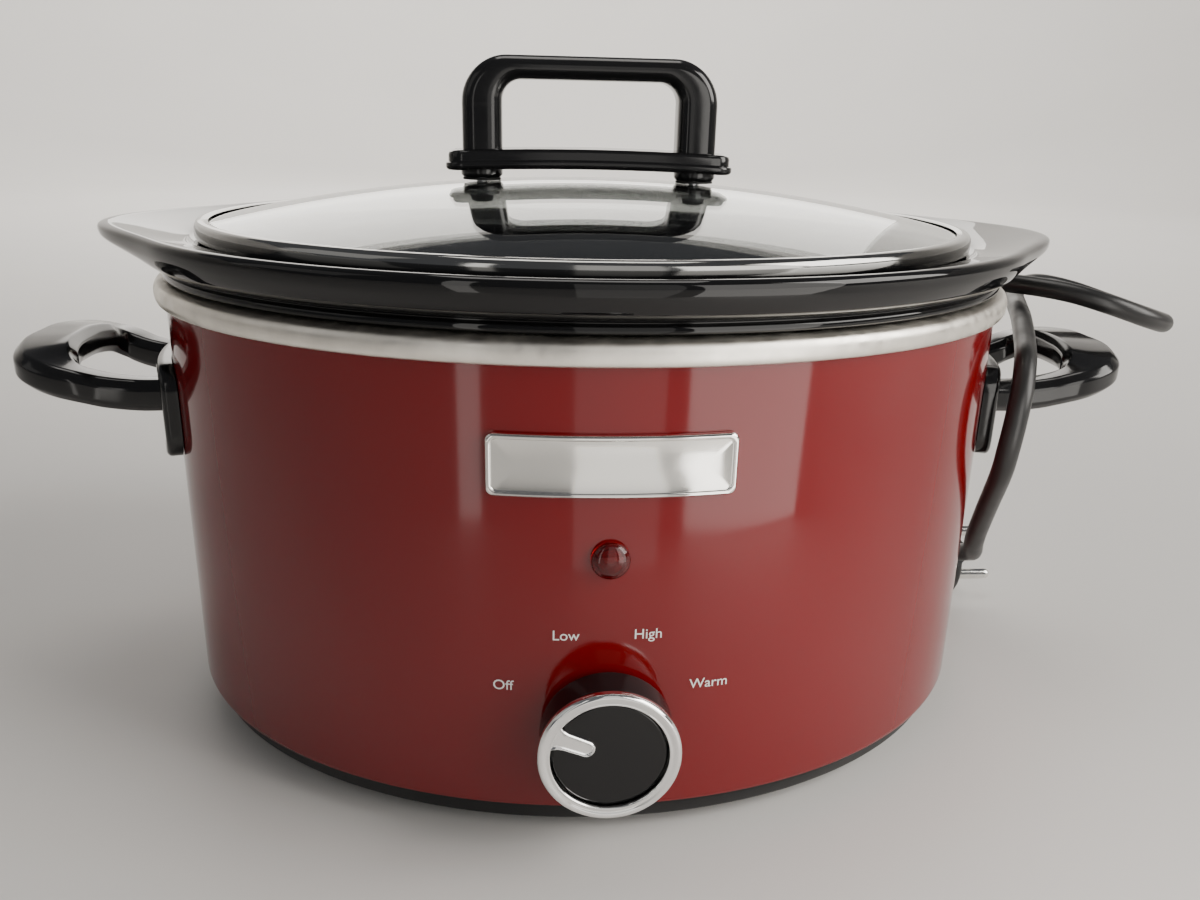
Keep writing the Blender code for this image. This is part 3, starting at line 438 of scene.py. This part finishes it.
def supply_cord(looks):
    """Cord, its moulded angled plug with two pins, and the ribbed strain relief."""
    collar = Vector((0, -math.cos(PLUG_TILT), math.sin(PLUG_TILT)))
    collar_end = 0.0333
    ends = [tuple(PLUG_CENTRE + collar * (collar_end + ahead)) for ahead in (0.012, 0.0)]
    curve = bpy.data.curves.new("supply_cord", "CURVE")
    curve.dimensions = "3D"
    curve.bevel_depth = CORD_RADIUS
    curve.bevel_resolution = 7
    curve.use_fill_caps = True
    path = smooth_path(CORD_ROUTE + ends, 8)
    line = curve.splines.new("POLY")
    line.points.add(len(path) - 1)
    for spot, point in zip(line.points, path):
        spot.co = (*(Vector(point) + SHIFT), 1.0)
    line.use_smooth = True
    curve.materials.append(looks["cord_sheath"])
    cord = bpy.data.objects.new("supply_cord", curve)
    bpy.context.scene.collection.objects.link(cord)
    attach(cord, "base")
    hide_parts("power_cord")

    out = Vector((1, 0, 0))
    across = out.cross(collar)
    head = soften([(0.0150, -0.0085), (0.0176, -0.0062), (0.0187, 0.0), (0.0187, 0.0085),
                   (0.0175, 0.0095)], 0.0012)
    neck = [(0.0086, 0.0080), (0.0085, 0.0150)]
    for rib in range(4):
        start = 0.0165 + rib * 0.0036
        wide = 0.0082 - rib * 0.00065
        neck += [(wide, start), (wide - 0.0001, start + 0.0018), (wide - 0.0012, start + 0.0022),
                 (wide - 0.0013, start + 0.0032)]
    neck += [(0.0050, 0.0318), (0.0049, 0.0330)]
    body = combine(turned(head, PLUG_CENTRE, out), [turned(soften(neck, 0.0003, 2), PLUG_CENTRE,
                                                            collar, 64)], "UNION")
    plug = add_piece("plug_moulding", body, looks["cord_sheath"], "base", "cord_sheath", "plug")
    pins, pin_apart, face = [], 0.0095, 0.0095
    for name, side in (("plug_pin_live", -1), ("plug_pin_neutral", 1)):
        foot = PLUG_CENTRE + across * (pin_apart * side) + out * face
        pin = soften([(0.0024, 0.0), (0.0024, 0.0172), (0.0018, 0.0186), (0.0006, 0.0190)], 0.0012)
        pins.append(add_piece(name + "_round", turned(pin, foot, out, 48), looks["pin_metal"],
                              "base", "pin_metal", name))

    profile = [(0.0050, -0.0060), (0.0060, -0.0050), (0.0060, 0.0004), (0.0090, 0.0004),
               (0.0092, 0.0030), (0.0074, 0.0036)]
    for rib in range(5):
        start = 0.0050 + rib * 0.0038
        wide = 0.0071 - rib * 0.00042
        profile += [(wide - 0.0011, start - 0.0006), (wide - 0.0011, start + 0.0002),
                    (wide, start + 0.0005), (wide - 0.0001, start + 0.0026)]
    profile += [(0.0048, 0.0246), (0.0046, 0.0250)]
    relief = turned(soften(profile, 0.0003, 2), (0, HALF_DEPTH, GLAND_Z), (0, 1, 0), 64)
    add_piece("strain_relief_ribbed", relief, looks["cord_sheath"], "base", "cord_sheath",
              "strain_relief")


# Heated base -------------------------------------------------------------------------------
def heated_base(looks):
    """Painted wall, aluminium well with its rolled band, moulded floor and feet."""
    heights = [SHELL_BOTTOM + 0.0016, 0.0225, 0.0323, 0.0375, 0.0463, 0.0855, 0.0955, 0.1110,
               0.1170, SHELL_TOP]
    profile = [(-0.0006, SHELL_BOTTOM), (-0.0002, SHELL_BOTTOM + 0.0002),
               (0.0, SHELL_BOTTOM + 0.0008)] + [(0.0, z) for z in heights]
    profile += [(-0.0010, SHELL_TOP), (-0.0010, SHELL_BOTTOM + 0.0012),
                (-0.0060, SHELL_BOTTOM + 0.0012), (-0.0060, SHELL_BOTTOM)]
    holes = [rod((0, -HALF_DEPTH - 0.010, KNOB_Z), (0, 1, 0), 0.0053, 0.020),
             rod((0, -HALF_DEPTH - 0.010, LAMP_Z), (0, 1, 0), 0.0044, 0.020),
             rod((0, HALF_DEPTH + 0.010, GLAND_Z), (0, -1, 0), 0.0068, 0.020)]
    for y in (-ARM_Y, ARM_Y):
        for side in (-1, 1):
            holes.append(rod((side * (HALF_WIDTH + 0.010), y, ARM_Z), (-side, 0, 0), 0.0024, 0.030))
    shell = combine(oval_body(profile, closed=True), holes, "DIFFERENCE")
    add_piece("painted_shell", shell, looks["red_paint"], "base", "red_paint", "outer_shell")

    outside = [(-0.0085, 0.1480), (-0.0050, BAND_TOP), (0.0004, BAND_TOP),
               (0.0024, BAND_TOP - 0.0009), (0.0032, BAND_TOP - 0.0027),
               (0.0032, BAND_BOTTOM + 0.0016), (0.0024, BAND_BOTTOM), (0.0004, BAND_BOTTOM),
               (0.0004, SHELL_TOP + 0.0006)]
    profile = [(-0.0300, 0.0250), (-0.0262, 0.0275), (-0.0252, 0.0330), (-0.0178, 0.0885),
               (-0.0105, 0.1440), *outside, (-0.0075, SHELL_TOP + 0.0006), (-0.0095, 0.1430),
               (-0.0242, 0.0330), (-0.0252, 0.0270), (-0.0292, 0.0240)]
    add_piece("aluminium_well", oval_body(soften(profile, 0.0022, 5)), looks["satin_aluminium"],
              "base", "satin_aluminium", "heating_well")

    profile = [(-0.0095, 0.0075), (-0.0088, 0.0200), (-0.0064, 0.0200),
               (-0.0064, SHELL_BOTTOM - GAP), (-0.0026, SHELL_BOTTOM - GAP), (-0.0022, 0.0108),
               (-0.0036, 0.0058), (-0.0060, TRAY_BOTTOM)]
    holes = [rod((0, 0, 0), (0, 0, 1), 0.0026, 0.010)]
    for side in (-1, 1):
        for row in range(4):
            holes.append(box((side * 0.062, -0.024 + 0.016 * row, 0.006), (0.030, 0.004, 0.010)))
    floor = combine(oval_body(soften(profile, 0.0009, 3)), holes, "DIFFERENCE")
    add_piece("moulded_floor", floor, looks["base_plastic"], "base", "base_plastic", "base_tray")

    foot = soften([(0.0040, 0.0006), (0.0050, 0.0), (0.0064, 0.0), (0.0074, 0.0008),
                   (0.0080, 0.0042)], 0.0006)
    for node, x, y in (("foot_front_left", -1, -1), ("foot_front_right", 1, -1),
                       ("foot_rear_left", -1, 1), ("foot_rear_right", 1, 1)):
        add_piece(node + "_rubber", turned(foot, (x * FOOT_X, y * FOOT_Y, 0), (0, 0, 1), 64),
                  looks["foot_rubber"], "base", "foot_rubber", node)


def side_handle(side, looks):
    """Plate that hugs the wall, and a faceted loop whose broad grip stands higher."""
    node = "side_handle_right" if side > 0 else "side_handle_left"
    facing = 0.0 if side > 0 else math.pi
    levels = [(1.0, GAP), (0.0, GAP), (0.0, 0.0036), (0.0002, 0.0042), (0.0007, 0.0047),
              (0.0014, 0.0050), (0.0030, 0.0050), (0.0036, 0.0048), (0.0044, 0.0046), (1.0, 0.0046)]
    half_arc, corner = PLATE_HALF[0], 0.0080
    backing = plate(*PLATE_HALF, corner, levels,
                    on_wall(facing, math.asin(half_arc / HALF_DEPTH), half_arc, PLATE_Z))
    arm = [(0.1385, ARM_Y, 0.0110, ARM_Z), (0.1490, ARM_Y, 0.0110, ARM_Z),
           (0.1600, 0.0265, 0.0122, 0.1122), (0.1700, 0.0275, 0.0150, 0.1158),
           (0.1775, 0.0225, 0.0185, 0.1190), (0.1810, 0.0115, 0.0195, 0.1207)]
    plan = [(x, -y, width, z) for x, y, width, z in arm] + [(0.1815, 0.0, 0.0190, 0.1210)]
    path = smooth_path(plan + arm[::-1], 8)
    tall, chamfer = 0.0053, 0.0026
    rings = []
    for i, (x, y, width, z) in enumerate(path):
        before, after = path[max(i - 1, 0)], path[min(i + 1, len(path) - 1)]
        run = Vector((after[0] - before[0], after[1] - before[1])).normalized()
        across = Vector((run.y, -run.x))
        half = width / 2
        section = [(half, -tall + chamfer), (half, tall - chamfer), (half - chamfer, tall),
                   (-half + chamfer, tall), (-half, tall - chamfer), (-half, -tall + chamfer),
                   (-half + chamfer, -tall), (half - chamfer, -tall)]
        section = soften(section, 0.0009, 4, closed=True)
        rings.append([Vector((side * (x + across.x * s), y + across.y * s, z + h))
                      for s, h in section])
    handle = combine(backing, [loft(rings)], "UNION")
    add_piece(node + "_moulding", handle, looks["black_plastic"], "base", "black_plastic", node)


def front_fittings(looks):
    """Badge without lettering, red lamp lens, and the four words round the knob."""
    levels = [(1.0, GAP), (0.0, GAP), (0.0, 0.0012), (0.0002, 0.0016), (0.0006, 0.0019),
              (0.0011, 0.0019), (0.0013, 0.0018), (0.0015, 0.0015), (0.0018, 0.0014), (1.0, 0.0014)]
    half_arc, corner = BADGE_HALF[0], 0.0022
    badge = plate(*BADGE_HALF, corner, levels,
                  on_wall(-math.pi / 2, math.asin(half_arc / HALF_WIDTH), half_arc, BADGE_Z))
    add_piece("blank_badge", badge, looks["bright_panel"], "base", "chrome", "badge")

    front = (0, -HALF_DEPTH, LAMP_Z)
    crown = 0.0026
    dome = [(LENS_RADIUS * math.sin(k * math.pi / 48),
             -0.0010 - crown * math.cos(k * math.pi / 48)) for k in range(2, 25, 2)]
    profile = dome + [(LENS_RADIUS, -0.0003), (0.0040, -0.0003), (0.0040, 0.0080), (0.0034, 0.0080),
                      (0.0034, 0.0006), (0.0030, -0.0006), (0.0016, -0.0014), (0.0004, -0.0016)]
    add_piece("lamp_lens", turned(profile, front, (0, 1, 0), 72), looks["red_lens"], "base",
              "red_lens", "indicator_lens")
    # Holder ring inside the lamp tube; its near-black colour is painted shade for the lamp's dark
    # inside.
    holder = turned([(0.0021, 0.0009), (0.0033, 0.0009), (0.0033, 0.0014), (0.0021, 0.0014)], front,
                    (0, 1, 0), 48, closed=True)
    add_piece("lamp_holder", holder, looks["lamp_recess_shade"], "base", "red_lens")

    for word, degrees in (("Off", -65.0), ("Low", -21.5), ("High", 20.2), ("Warm", 66.0)):
        turn = math.radians(degrees)
        dial_word(word, WORD_RADIUS * math.sin(turn), WORD_Z + WORD_RADIUS * math.cos(turn),
                  looks["ink"])


def dial_word(word, x_mid, z_mid, ink):
    """Thin printed word that follows the curve of the wall."""
    cap_height, low, high = 0.0031, 0.00005, 0.00012
    cap_share = 0.73
    text = bpy.data.curves.new("word", "FONT")
    text.body = word
    text.align_x = "CENTER"
    text.extrude = 0.1
    made = bpy.data.objects.new("word", text)
    bpy.context.scene.collection.objects.link(made)
    graph = bpy.context.evaluated_depsgraph_get()
    shape = bmesh.new()
    shape.from_mesh(made.evaluated_get(graph).to_mesh())
    bpy.data.objects.remove(made)
    bmesh.ops.remove_doubles(shape, verts=shape.verts, dist=1e-5)
    scale = cap_height / cap_share
    for vert in shape.verts:
        x = x_mid + vert.co.x * scale
        lift = high if vert.co.z > 0 else low
        y = -(HALF_DEPTH + lift) * math.sqrt(1 - (x / (HALF_WIDTH + lift)) ** 2)
        vert.co = Vector((x, y, z_mid + vert.co.y * scale - cap_height / 2))
    add_piece("dial_" + word.lower(), shape, ink, "base", "white_sleeve")


# Knob --------------------------------------------------------------------------------------
def knob(looks):
    """Gloss skirt, chrome ring with its pointer, and the dark disc behind the pointer."""
    origin, forward = (0, -HALF_DEPTH, KNOB_Z), (0, -1, 0)
    profile = [(0.0170, 0.0118), (0.0184, 0.0112), (0.0186, 0.0016), (0.0172, 0.0016),
               (0.0166, 0.0090), (0.0066, 0.0090), (0.0062, 0.0050), (0.0034, 0.0050),
               (0.0034, 0.0100)]
    add_piece("knob_skirt", turned(soften(profile, 0.0008, 4), origin, forward, 128),
              looks["black_plastic"], "knob", "black_plastic", "knob")

    ring = [(0.0183, 0.0121), (KNOB_RADIUS, 0.0124), (KNOB_RADIUS, 0.0141), (0.0188, KNOB_FACE),
            (0.0180, KNOB_FACE), (0.0168, 0.0145), (0.0163, 0.0147), (0.0159, 0.0143),
            (0.0159, 0.0121)]
    rim = turned(soften(ring, 0.0006, 4, closed=True), origin, forward, 128, closed=True)
    add_piece("knob_ring", rim, looks["chrome"], "knob", "chrome", "knob_trim_ring")
    tip_radius, tip_from = 0.0024, 0.0068
    outline = [(0.0166, 0.0046), (0.0158, 0.0041), (0.0150, 0.0034), (0.0141, 0.0029),
               (0.0128, 0.0026), (0.0100, 0.0025)]
    arc = [(tip_from - tip_radius * math.sin(k * math.pi / 12),
            tip_radius * math.cos(k * math.pi / 12)) for k in range(13)]
    outline = outline + arc + [(s, -w) for s, w in reversed(outline)]
    off = math.radians(67.5)
    along = Vector((-math.sin(off), 0, math.cos(off)))
    across = Vector((math.cos(off), 0, math.sin(off)))
    rings = []
    for inset, lift in ((0.0, 0.01345), (0.0, 0.01400), (0.00012, 0.01422), (0.00035, 0.01435),
                        (0.00060, 0.01430), (0.00080, 0.01412), (0.00095, 0.01395),
                        (0.00120, 0.01388)):
        row = []
        for i, (s, w) in enumerate(outline):
            before, after = outline[max(i - 1, 0)], outline[min(i + 1, len(outline) - 1)]
            run = Vector((after[0] - before[0], after[1] - before[1])).normalized()
            s_in, w_in = s - run.y * inset, w + run.x * inset
            row.append(Vector(origin) + along * s_in + across * w_in + Vector(forward) * lift)
        rings.append(row)
    add_piece("knob_pointer", loft(rings), looks["chrome"], "knob", "chrome")

    disc = [(0.0120, 0.0121), (0.0155, 0.0121), (0.0155, 0.0131), (0.0150, 0.0134),
            (0.0100, 0.0134)]
    add_piece("knob_disc", turned(soften(disc, 0.0003, 3), origin, forward, 128),
              looks["black_glaze"], "knob", "black_plastic", "knob_insert")


# Stoneware pot -----------------------------------------------------------------------------
def stoneware_pot(looks):
    """Glazed pot whose flared rim runs out into a lug at each end."""
    profile = [(-0.0370, 0.0345, 0), (-0.0300, 0.0385, 0), (-0.0272, 0.0460, 0),
               (-0.0190, 0.1500, 0), (-0.0186, 0.1590, 0), (-0.0176, LID_SEAT, 0),
               (-0.0094, LID_SEAT, 0), (-0.0078, 0.1622, 0), (-0.0020, 0.1634, 0.15),
               (0.0030, 0.1644, 0.55), (0.0058, POT_CREST, 0.90), (0.0074, 0.1642, 1.0),
               (0.0078, 0.1626, 1.0), (0.0074, 0.1604, 0.97), (0.0062, 0.1582, 0.72),
               (0.0048, 0.1562, 0.30), (0.0034, 0.1549, 0.05), (0.0016, 0.1538, 0),
               (-0.0008, 0.1535, 0), (-0.0010, 0.1528, 0), (0.0002, 0.1523, 0),
               (0.0002, BAND_TOP + GAP, 0), (-0.0072, BAND_TOP + GAP, 0), (-0.0125, 0.1440, 0),
               (-0.0272, 0.0380, 0), (-0.0300, 0.0305, 0), (-0.0360, 0.0280, 0)]
    lug_reach, lug_angle = 0.0144, math.radians(30)
    rings = []
    for offset, z, share in soften(profile, 0.0030, 6):
        ring = []
        for i in range(OVAL_STEPS):
            t = 2 * math.pi * i / OVAL_STEPS
            from_end = min(abs(math.remainder(t, 2 * math.pi)),
                           abs(math.remainder(t - math.pi, 2 * math.pi)))
            bump = math.cos(from_end / lug_angle * math.pi / 2) ** 2 if from_end < lug_angle else 0
            grown = offset + share * bump * lug_reach
            ring.append(Vector(((HALF_WIDTH + grown) * math.cos(t),
                                (HALF_DEPTH + offset) * math.sin(t), z)))
        rings.append(ring)
    add_piece("glazed_pot", loft(rings), looks["black_glaze"], "pot", "black_glaze",
              "stoneware_pot", smooth=60)


# Lid ---------------------------------------------------------------------------------------
def glass_top(x, y=0.0):
    share = math.hypot(x / (HALF_WIDTH + LID_INSET), y / (HALF_DEPTH + LID_INSET))
    return LID_EDGE + (LID_APEX - LID_EDGE) * (1 - share ** 2)


def lid(looks):
    """Clear dome, polished hoop, and the loop handle on its foot plate."""
    across, deep = HALF_WIDTH + LID_INSET, HALF_DEPTH + LID_INSET
    shares = [0.02] + [k / 28 for k in range(2, 28)] + [0.985, 1.0]

    def ring(share, drop):
        turns = (2 * math.pi * i / OVAL_STEPS for i in range(OVAL_STEPS))
        z = glass_top(across * share) - drop
        return [Vector((across * share * math.cos(t), deep * share * math.sin(t), z))
                for t in turns]

    rings = [ring(s, 0.0) for s in shares[:-1]] + [ring(1.0, 0.0004)]
    rings += [ring(1.0, GLASS - 0.0004)] + [ring(s, GLASS) for s in reversed(shares[:-1])]
    add_piece("glass_dome", loft(rings), looks["clear_glass"], "lid", "clear_glass", "lid_glass",
              smooth=50)

    edge = LID_INSET
    profile = [(edge - 0.0030, LID_EDGE + 0.0014), (edge - 0.0010, LID_EDGE + 0.0019),
               (edge + 0.0008, LID_EDGE + 0.0014), (edge + 0.0016, LID_EDGE),
               (edge + 0.0016, LID_EDGE - 0.0034), (edge + 0.0008, LID_SEAT + GAP),
               (edge - 0.0030, LID_SEAT + GAP), (edge - 0.0030, LID_EDGE - GLASS - 0.0005),
               (edge + 0.0004, LID_EDGE - GLASS - 0.0005), (edge + 0.0004, LID_EDGE + 0.0004),
               (edge - 0.0030, LID_EDGE + 0.0011)]
    hoop = oval_body(soften(profile, 0.0009, 4, closed=True), closed=True)
    # The lid hoop takes the darkened steel, whose colour holds painted shade.
    add_piece("lid_hoop", hoop, looks["shade_darkened_rim_steel"], "lid", "chrome", "lid_rim")
    lid_handle(looks)


def lid_handle(looks):
    low, top, sag = 0.1832, 0.1897, 0.0012
    half_length, half_width = 0.0480, 0.0115
    levels = [(1.0, low), (0.0022, low), (0.0009, low + 0.0002), (0.0003, low + 0.0006),
              (0.0, low + 0.0012), (0.0, low + 0.0022), (0.0002, low + 0.0026),
              (0.0007, low + 0.0028), (0.0009, low + 0.0031), (0.0009, top - 0.0014),
              (0.0012, top - 0.0006), (0.0018, top - 0.0002), (0.0026, top), (0.0040, top),
              (1.0, top)]
    foot = plate(half_length, half_width, 0.0060, levels,
                 lambda x, y, z: Vector((x, y, z - sag * (x / half_length) ** 2)))
    outer_x, inner_x, outer_round, inner_round = 0.0425, 0.0293, 0.0150, 0.0065
    outer_z, inner_z, start = HANDLE_TOP, HANDLE_TOP - 0.0076, 0.1862
    pairs = [((outer_x, start + (outer_z - outer_round - start) * k / 6),
              (inner_x, start + (inner_z - inner_round - start) * k / 6)) for k in range(6)]
    for k in range(17):
        a = k * math.pi / 32
        pairs.append(((outer_x - outer_round + outer_round * math.cos(a),
                       outer_z - outer_round + outer_round * math.sin(a)),
                      (inner_x - inner_round + inner_round * math.cos(a),
                       inner_z - inner_round + inner_round * math.sin(a))))
    left = [((-o[0], o[1]), (-i[0], i[1])) for o, i in reversed(pairs)]
    rings = []
    for outer, inner in pairs + left:
        outer, inner = Vector((outer[0], 0, outer[1])), Vector((inner[0], 0, inner[1]))
        middle, reach = (outer + inner) / 2, (outer - inner) / 2
        half = reach.length
        across = reach.normalized()
        cut = min(0.0026, half * 0.62)
        section = [(half, -0.0076 + cut), (half, 0.0076 - cut), (half - cut, 0.0076),
                   (-half + cut, 0.0076), (-half, 0.0076 - cut), (-half, -0.0076 + cut),
                   (-half + cut, -0.0076), (half - cut, -0.0076)]
        section = soften(section, 0.0022, 5, closed=True)
        rings.append([middle + across * s + Vector((0, w, 0)) for s, w in section])
    posts = [turned(soften([(0.0064, 0.0), (0.0070, 0.0008), (0.0070, 0.0088)], 0.0005),
                    (side * POST_X, 0, glass_top(POST_X) + 0.0014), (0, 0, 1), 64)
             for side in (-1, 1)]
    bores = [rod((side * POST_X, 0, 0.170), (0, 0, 1), 0.0021, 0.022) for side in (-1, 1)]
    handle = combine(combine(foot, [loft(rings), *posts], "UNION"), bores, "DIFFERENCE")
    add_piece("loop_handle", handle, looks["black_plastic"], "lid", "black_plastic", "lid_handle")


# Surroundings ------------------------------------------------------------------------------
def surroundings():
    """Pale floor that curves up far behind the object, and soft lights."""
    floor_look = look("pale_floor", (0.68, 0.665, 0.645), 0.55, swing=0.05, patch=6.0, mottle=0.015,
                      grain=(900.0, 1e-5))
    curve, far = 1.2, 3.6
    profile = [(0.4, 0.0), (1.2, 0.0), (far - curve, 0.0)]
    profile += [(far - curve + curve * math.sin(k * math.pi / 32),
                 curve - curve * math.cos(k * math.pi / 32)) for k in range(1, 17)] + [(far, 2.4)]
    steps = 96
    rings = []
    for radius, z in profile:
        ring = []
        for i in range(steps):
            t = 2 * math.pi * i / steps
            behind = min(max(0.6 + 1.5 * math.sin(t), 0.0), 1.0)
            ring.append((radius * math.cos(t), radius * math.sin(t), z * behind))
        rings.append(ring)
    shape = loft(rings, capped=False)
    shape.verts.ensure_lookup_table()
    shape.faces.new(shape.verts[:steps])
    bmesh.ops.recalc_face_normals(shape, faces=shape.faces)
    bmesh.ops.reverse_faces(shape, faces=shape.faces)
    mesh = bpy.data.meshes.new("floor")
    shape.to_mesh(mesh)
    shape.free()
    mesh.shade_smooth()
    mesh.materials.append(floor_look)
    floor = bpy.data.objects.new("floor", mesh)
    bpy.context.scene.collection.objects.link(floor)

    for name, place, aim, size, power in (
            ("window", (1.45, -0.55, 0.95), (0, 0, 0.08), (1.0, 1.2), 30),
            ("window_left", (-1.35, -0.50, 0.85), (0, 0, 0.08), (0.9, 0.9), 1.0),
            ("ceiling", (0.0, 0.30, 1.70), (0, 0, 0), (0.9, 0.7), 7),
            ("backdrop", (0.0, 1.30, 2.10), (0, 3.60, 0.70), (2.4, 0.8), 118),
            ("back_panel", (0.0, 2.30, 0.95), (0, 0, 0.15), (2.3, 1.1), 13),
            ("strip_left", (-0.140, -0.300, 0.150), (0, -0.02, 0.11), (0.028, 0.30), 0.05),
            ("strip_middle", (0.022, -0.265, 0.150), (0.02, 0, 0.11), (0.085, 0.30), 0.055),
            ("strip_right", (0.165, -0.265, 0.150), (0.06, -0.03, 0.11), (0.15, 0.30), 0.45)):
        lamp = bpy.data.lights.new(name, "AREA")
        lamp.shape = "RECTANGLE"
        lamp.size, lamp.size_y = size
        lamp.energy = power
        lamp.color = (1.0, 0.965, 0.915)
        made = bpy.data.objects.new(name, lamp)
        made.location = place
        made.rotation_euler = (Vector(aim) - Vector(place)).to_track_quat("-Z", "Y").to_euler()
        made.visible_camera = False
        bpy.context.scene.collection.objects.link(made)

    world = bpy.data.worlds.new("studio")
    world.use_nodes = True
    sky = world.node_tree.nodes["Background"]
    sky.inputs["Color"].default_value = (0.93, 0.95, 1.0, 1.0)
    sky.inputs["Strength"].default_value = 0.14
    bpy.context.scene.world = world


# Build -------------------------------------------------------------------------------------
make_camera()
looks = make_looks()
supply_cord(looks)
heated_base(looks)
for side in (-1, 1):
    side_handle(side, looks)
front_fittings(looks)
knob(looks)
stoneware_pot(looks)
lid(looks)
for part in frame["record"]["subparts"]:
    node = frame["nodes"][part["node"]]
    node.data.materials.clear()
    node.data.materials.append(looks[part["material_slot"]])
surroundings()
